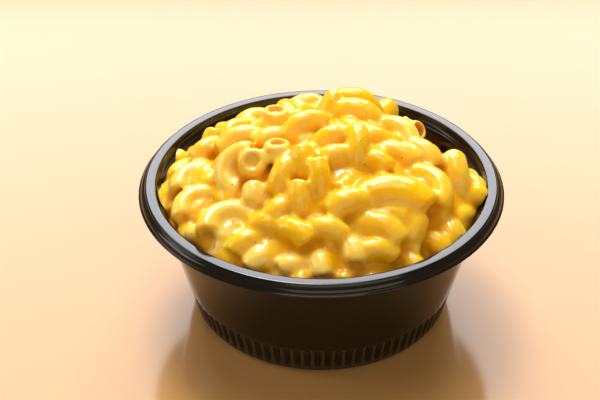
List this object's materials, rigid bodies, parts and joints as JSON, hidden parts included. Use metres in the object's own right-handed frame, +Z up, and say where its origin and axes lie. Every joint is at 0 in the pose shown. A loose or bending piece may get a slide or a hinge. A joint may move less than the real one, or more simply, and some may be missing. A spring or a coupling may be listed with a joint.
{
  "type": "macaroni cheese in a takeaway bowl",
  "caption": "Elbow macaroni in a glossy golden cheese sauce, heaped above the rim of a black plastic takeaway bowl with a stepped lid rim and a fluted foot",
  "frame": {"origin": "the middle of the ring the bowl stands on, at the lowest point", "axes": "+Z up through the bowl; -Y is the front, +X is on the right as seen from the front"},
  "size_m": [0.1456, 0.146, 0.0869],
  "materials": {
    "plastic": "near-black moulded plastic, smooth and glossy",
    "pasta": "cooked pasta under a wet golden cheese sauce"
  },
  "bodies": {
    "root": {"bowl": "plastic", "macaroni_heap": "pasta"}
  },
  "joints": []
}
